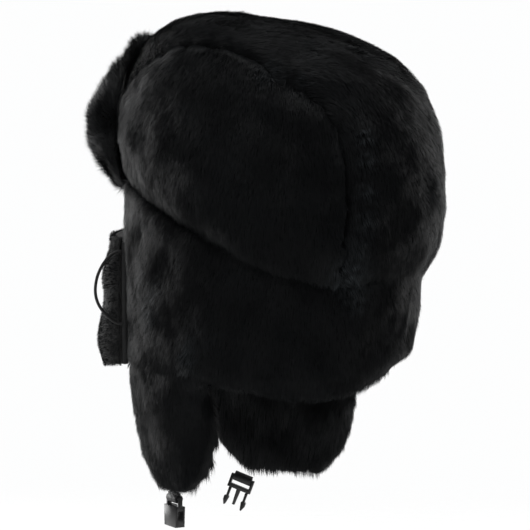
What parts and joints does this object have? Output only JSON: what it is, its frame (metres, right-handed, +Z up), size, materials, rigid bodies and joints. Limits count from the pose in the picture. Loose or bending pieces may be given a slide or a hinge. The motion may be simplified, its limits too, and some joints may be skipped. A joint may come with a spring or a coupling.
{
  "type": "trapper hat",
  "caption": "Black fur trapper hat with a turned-up visor, padded neck band, fold-down ear flaps, a chin strap with a side-release buckle and a pull-off face mask.",
  "frame": {"origin": "middle of the head opening, level with the brow, where the hat bears on the wearer's head", "axes": "+Z up, -Y the way the wearer looks, +X the wearer's left"},
  "size_m": [0.2194, 0.2894, 0.3999],
  "materials": {
    "black_pile": "short dense black fur pile with a dull sheen",
    "long_pile": "longer shaggy fur pile, charcoal with paler tips",
    "wadding": "loose polyester wadding, never seen",
    "satin": "quilted woven satin lining",
    "cotton": "close woven black cotton",
    "nylon_webbing": "ribbed black nylon webbing",
    "acetal": "moulded black acetal",
    "elastic": "round knitted elastic cord"
  },
  "bodies": {
    "crown": {"crown_panel_right": "black_pile", "crown_centre_panel": "black_pile", "crown_panel_left": "black_pile", "crown_wadding": "wadding", "crown_lining": "satin", "headband": "cotton", "neck_band_fur": "black_pile", "neck_band_wadding": "wadding", "neck_band_lining": "long_pile", "loop_patch_left": "nylon_webbing", "loop_patch_right": "nylon_webbing"},
    "visor": {"visor_fur": "long_pile", "visor_wadding": "wadding", "visor_backing": "long_pile"},
    "ear_flap_left": {"ear_flap_left_fur": "black_pile", "ear_flap_left_wadding": "wadding", "ear_flap_left_lining": "long_pile"},
    "ear_flap_right": {"ear_flap_right_fur": "black_pile", "ear_flap_right_wadding": "wadding", "ear_flap_right_lining": "long_pile"},
    "strap_left": {"chin_strap_left": "nylon_webbing"},
    "buckle_socket": {"buckle_socket": "acetal"},
    "strap_right": {"chin_strap_right": "nylon_webbing"},
    "buckle_plug": {"buckle_frame": "acetal"},
    "latch_front": {"latch_arm_front": "acetal"},
    "latch_rear": {"latch_arm_rear": "acetal"},
    "mask": {"mask_shell": "cotton", "mask_lining": "satin", "mask_binding_left": "cotton", "mask_binding_right": "cotton", "hook_tab_left": "cotton", "hook_tab_right": "cotton", "ear_loop_left": "elastic", "ear_loop_right": "elastic"}
  },
  "joints": [
    {"name": "visor_fold", "type": "hinge", "parent": "crown", "child": "visor", "pos_m": [0, -0.102, 0.002], "axis": [1, 0, 0], "range_deg": [0, 62]},
    {"name": "ear_flap_left_fold", "type": "hinge", "parent": "crown", "child": "ear_flap_left", "pos_m": [0.0801, -0.0686, -0.1412], "axis": [-0.454, -0.891, 0], "range_deg": [0, 150], "stiffness_Nm_per_rad": 0.02, "springref_deg": -20.05},
    {"name": "ear_flap_right_fold", "type": "hinge", "parent": "crown", "child": "ear_flap_right", "pos_m": [-0.0889, -0.0436, -0.1412], "axis": [-0.2721, 0.9623, 0], "range_deg": [0, 150], "stiffness_Nm_per_rad": 0.02, "springref_deg": -20.05},
    {"name": "strap_left_swing", "type": "hinge", "parent": "ear_flap_left", "child": "strap_left", "pos_m": [0.05663, -0.05895, -0.2256], "axis": [0.5, 0.866, 0], "range_deg": [-30, 30]},
    {"name": "socket_swing", "type": "hinge", "parent": "strap_left", "child": "buckle_socket", "pos_m": [0.05663, -0.05895, -0.2318], "axis": [0.5, 0.866, 0], "range_deg": [-35, 35]},
    {"name": "strap_right_swing", "type": "hinge", "parent": "ear_flap_right", "child": "strap_right", "pos_m": [-0.06298, -0.06606, -0.2276], "axis": [-0.293, 0.8896, -0.3502], "range_deg": [-50, 50]},
    {"name": "plug_swing", "type": "hinge", "parent": "strap_right", "child": "buckle_plug", "pos_m": [-0.06214, -0.06858, -0.23472], "axis": [-0.293, 0.8896, -0.3502], "range_deg": [-40, 40]},
    {"name": "latch_front_squeeze", "type": "hinge", "parent": "buckle_plug", "child": "latch_front", "pos_m": [-0.05895, -0.07826, -0.24142], "axis": [0.9497, 0.3132, 0.0007], "range_deg": [0, 7], "stiffness_Nm_per_rad": 0.05},
    {"name": "latch_rear_squeeze", "type": "hinge", "parent": "buckle_plug", "child": "latch_rear", "pos_m": [-0.06317, -0.06545, -0.24647], "axis": [-0.9497, -0.3132, -0.0007], "range_deg": [0, 7], "stiffness_Nm_per_rad": 0.05},
    {"name": "mask_pull_off", "type": "slide", "parent": "crown", "child": "mask", "axis": [0, -1, 0], "range_m": [0, 0.04]}
  ]
}
